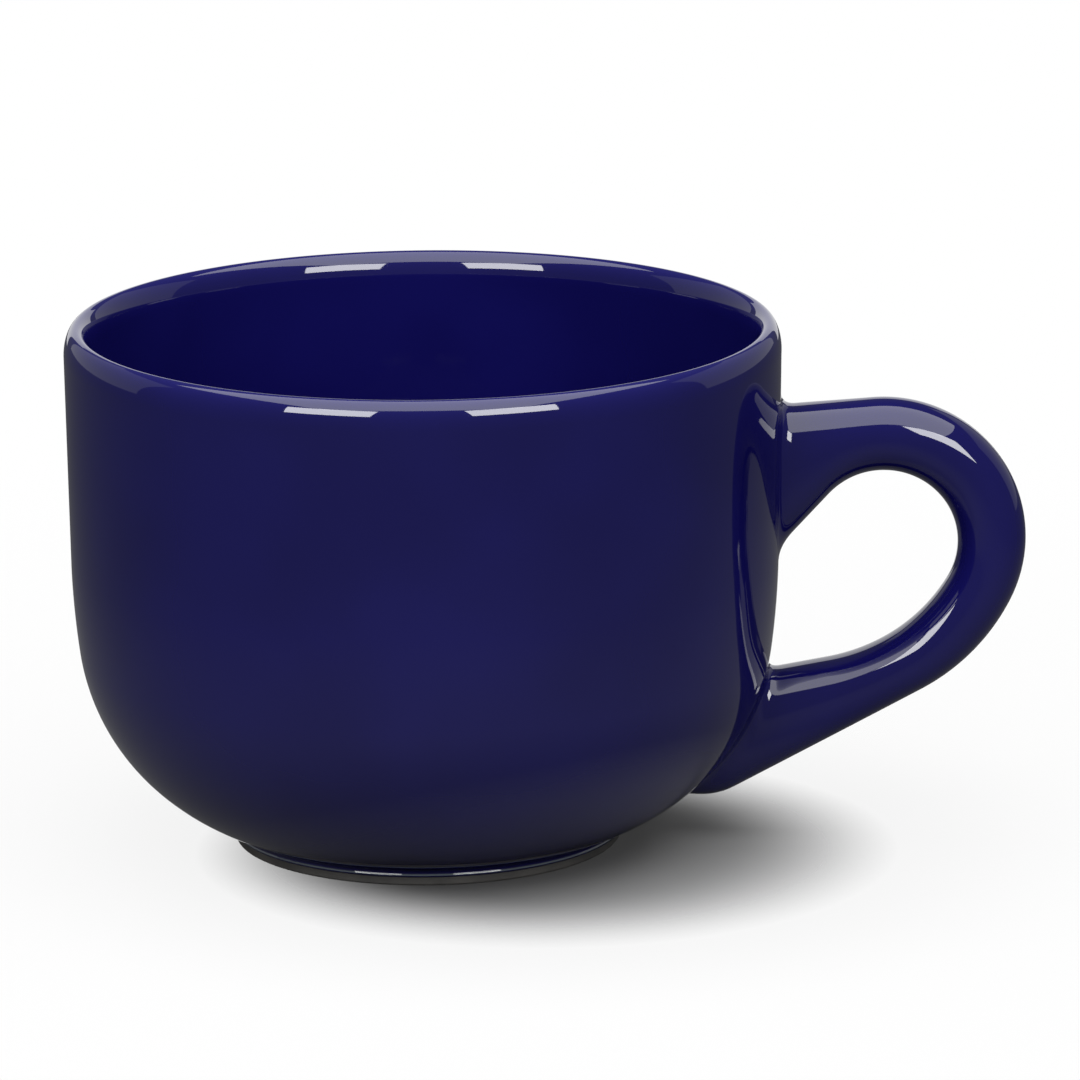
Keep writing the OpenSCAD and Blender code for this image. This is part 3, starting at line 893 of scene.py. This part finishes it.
def flat_sheet(name, size, matrix, finish):
    """A rectangle in its own XY plane, with its finish, set in place."""
    w, d = size[0] / 2, size[1] / 2
    mesh = bpy.data.meshes.new(name)
    mesh.from_pydata([(-w, -d, 0), (w, -d, 0), (w, d, 0), (-w, d, 0)], [], [(0, 1, 2, 3)])
    mesh.materials.append(finish)
    sheet = shown(name, mesh)
    sheet.matrix_world = matrix
    return sheet


def show_between(tree, factor, first, second):
    """Shows the first shader where the factor is 0 and the second where it is 1."""
    mix = put(tree, "ShaderNodeMixShader", {0: factor, 1: first, 2: second})
    feed(tree, tree.nodes["Material Output"].inputs["Surface"], mix.outputs["Shader"])


def table_finish(look):
    """Acrylic table top: frosted under the mug in a grey that paints shadow round the foot on top of the
    cast shadow, clear further out, and clear from below.
    """
    finish, tree, shader, place = new_finish("Frosted table top")
    away = put(tree, "ShaderNodeVectorMath", {0: place}, operation="LENGTH").outputs["Value"]
    near = ranged(tree, away, NEAR_FROST_PAINTED_SHADOW, "SMOOTHERSTEP")
    far = ranged(tree, away, FAR_FROST, "SMOOTHSTEP")
    frosted = maths(tree, "MAXIMUM", near, far)
    behind = put(tree, "ShaderNodeNewGeometry").outputs["Backfacing"]
    opaque = maths(tree, "SUBTRACT", frosted, behind, use_clamp=True)
    # Grey painted shadow near the middle, going over into the pale table further out.
    out_of_painted_shadow = ranged(tree, away, PAINTED_SHADOW_TO_TABLE, "SMOOTHSTEP")
    feed(tree, shader.inputs["Base Color"], mixed(tree, look.frost_painted_shadow, look.table, out_of_painted_shadow))
    shader.inputs["Roughness"].default_value = TABLE_ROUGHNESS
    shader.inputs["Specular IOR Level"].default_value = 0
    clear = put(tree, "ShaderNodeBsdfTransparent").outputs["BSDF"]
    show_between(tree, opaque, clear, shader.outputs["BSDF"])
    return finish


def backdrop_finish(look):
    """Evenly lit white backdrop, which is clear from behind."""
    finish, tree = new_material("White backdrop")
    behind = put(tree, "ShaderNodeNewGeometry").outputs["Backfacing"]
    white = put(tree, "ShaderNodeEmission", {"Color": WHITE, "Strength": look.backdrop}).outputs["Emission"]
    clear = put(tree, "ShaderNodeBsdfTransparent").outputs["BSDF"]
    show_between(tree, behind, white, clear)
    return finish


def grey_room(look):
    """World of even greys, a little darker on the far side."""
    world = bpy.data.worlds.new("Grey room")
    world.use_nodes = True
    tree = world.node_tree
    way = put(tree, "ShaderNodeTexCoord").outputs["Generated"]
    depth = put(tree, "ShaderNodeSeparateXYZ", {0: way}).outputs["Y"]
    front_to_back = {"From Min": -1, "From Max": 1, "To Min": look.room_front, "To Max": look.room_back}
    background = tree.nodes["Background"].inputs
    feed(tree, background["Color"], WHITE)
    feed(tree, background["Strength"], ranged(tree, depth, front_to_back))
    return world


def lamp(name, brightness, size, place, aim):
    """A rectangular lamp of an even brightness, turned towards a point."""
    width, height = size
    light = bpy.data.lights.new(name, "AREA")
    light.shape = "RECTANGLE"
    light.size = width
    light.size_y = height
    light.energy = brightness * math.pi * width * height
    made = shown(name, light)
    made.location = place
    made.rotation_euler = (Vector(aim) - Vector(place)).to_track_quat("-Z", "Y").to_euler()
    return made


def lamp_pair(name, brightness, size, place, aim):
    """Two like lamps, one on each side."""
    across, *rest = place
    return [
        lamp(f"{name}_{side}", brightness, size, (x, *rest), aim)
        for side, x in (("left", -across), ("right", across))]


def screened(name, lamps, things, state):
    """Flags that keep lamps off some things, or let them light nothing else."""
    flags = bpy.data.collections.new(name)
    for thing in things:
        flags.objects.link(thing)
    for held in flags.collection_objects:
        held.light_linking.link_state = state
    for each in lamps:
        each.light_linking.receiver_collection = flags


def photo_camera(look, matrix):
    """A camera that sees the mug as the photograph does."""
    eye = bpy.data.cameras.new("camera")
    eye.sensor_width = FRAME_WIDTH
    eye.sensor_fit = "HORIZONTAL"
    eye.lens = look.lens
    eye.clip_start = NEAREST
    eye.clip_end = FARTHEST
    camera = shown("camera", eye)
    camera.matrix_world = matrix
    return camera


class MUG_OT_stage(bpy.types.Operator):
    """Sets the table top, the backdrops, the lamps and the camera"""
    bl_idname = "mug.stage"
    bl_label = "Studio"

    def execute(self, context):
        scene, look = context.scene, context.scene.mug_stage
        scene.view_settings.view_transform = "Standard"
        scene.world = grey_room(look)
        back = Vector((0, -math.cos(look.elevation), math.sin(look.elevation)))
        facing = (-back).to_track_quat("-Z", "Y").to_matrix().to_4x4()
        table = flat_sheet("table_top", TABLE_SIZE, Matrix.Translation(TABLE_PLACE), table_finish(look))
        white = backdrop_finish(look)
        beyond = Matrix.Translation(LOOKED_AT - BACKDROP_AWAY * back)
        flat_sheet("backdrop", BACKDROP_SIZE, beyond @ facing, white)
        upright = Matrix.Rotation(math.pi / 2, 4, "X")
        above = Matrix.Translation(UPPER_BACKDROP_PLACE)
        flat_sheet("upper_backdrop", UPPER_BACKDROP_SIZE, above @ upright, white)
        lamp("overhead_panel", look.panel, PANEL_SIZE, PANEL_PLACE, PANEL_AIM)
        windows = lamp_pair("window", look.window, WINDOW_SIZE, WINDOW_PLACE, WINDOW_AIM)
        rear = lamp_pair("back_lamp", look.back_lamp, BACK_LAMP_SIZE, BACK_LAMP_PLACE, BACK_LAMP_AIM)
        screened("kept dark", windows + rear, [table], "EXCLUDE")
        low = lamp("table_lamp", look.table_lamp, TABLE_LAMP_SIZE, TABLE_LAMP_PLACE, TABLE_LAMP_AIM)
        screened("kept lit", [low], [table], "INCLUDE")
        turned = facing @ Matrix.Rotation(look.roll, 4, "Z")
        scene.camera = photo_camera(look, Matrix.Translation(LOOKED_AT + look.distance * back) @ turned)
        return {"FINISHED"}


# Sidebar

GROUPS = {
    "mug_cup": CupSizes, "mug_handle": HandleSizes, "mug_glaze": GlazeLook, "mug_clay": ClayLook,
    "mug_stage": StageLook}
OPERATORS = (MUG_OT_clay_body, MUG_OT_cup_glaze, MUG_OT_handle_glaze, MUG_OT_base_glaze, MUG_OT_stage)


class MUG_PT_sidebar(bpy.types.Panel):
    """Lists the mug's pieces and the values that shape them"""
    bl_label = "Latte Mug"
    bl_space_type = "VIEW_3D"
    bl_region_type = "UI"
    bl_category = "Mug"

    def draw(self, context):
        for operator in OPERATORS:
            self.layout.operator(operator.bl_idname)
        for name, group in GROUPS.items():
            box = self.layout.box()
            box.label(text=group.__doc__)
            for value in group.__annotations__:
                box.prop(getattr(context.scene, name), value)


CLASSES = (*GROUPS.values(), *OPERATORS, MUG_PT_sidebar)


def register():
    for made in CLASSES:
        bpy.utils.register_class(made)
    for name, group in GROUPS.items():
        setattr(bpy.types.Scene, name, PointerProperty(type=group))


def unregister():
    for name in GROUPS:
        delattr(bpy.types.Scene, name)
    for made in reversed(CLASSES):
        bpy.utils.unregister_class(made)


def main():
    register()
    bpy.ops.mug.clay_body()
    bpy.ops.mug.cup_glaze()
    bpy.ops.mug.handle_glaze()
    bpy.ops.mug.base_glaze()
    bpy.ops.mug.stage()


if __name__ == "__main__":
    main()
